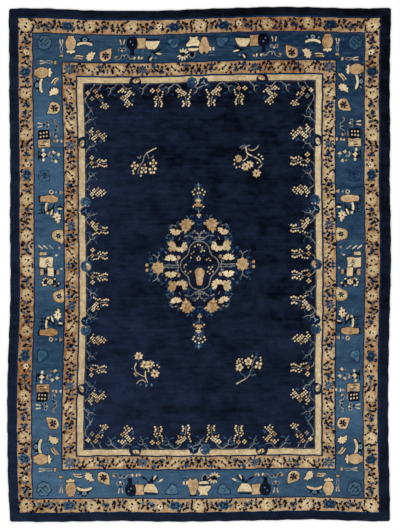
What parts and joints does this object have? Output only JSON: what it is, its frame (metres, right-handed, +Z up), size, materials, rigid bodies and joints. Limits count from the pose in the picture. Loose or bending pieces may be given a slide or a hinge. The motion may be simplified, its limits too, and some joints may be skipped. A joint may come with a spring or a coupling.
{
  "type": "peking rug",
  "caption": "Large rectangular hand-knotted wool rug that lies flat on a floor, with a low pile, a slightly crooked outline and rounded corners.",
  "frame": {"origin": "centre of the rug's box, on the floor plane under the rug", "axes": "+X across the rug towards its right side, +Y along the rug towards its head (the picture's top), +Z up out of the pile"},
  "size_m": [2.7678, 3.7142, 0.01],
  "materials": {
    "wool_pile": "matte hand-knotted wool pile"
  },
  "bodies": {
    "root": {"rug": "wool_pile"}
  },
  "joints": []
}
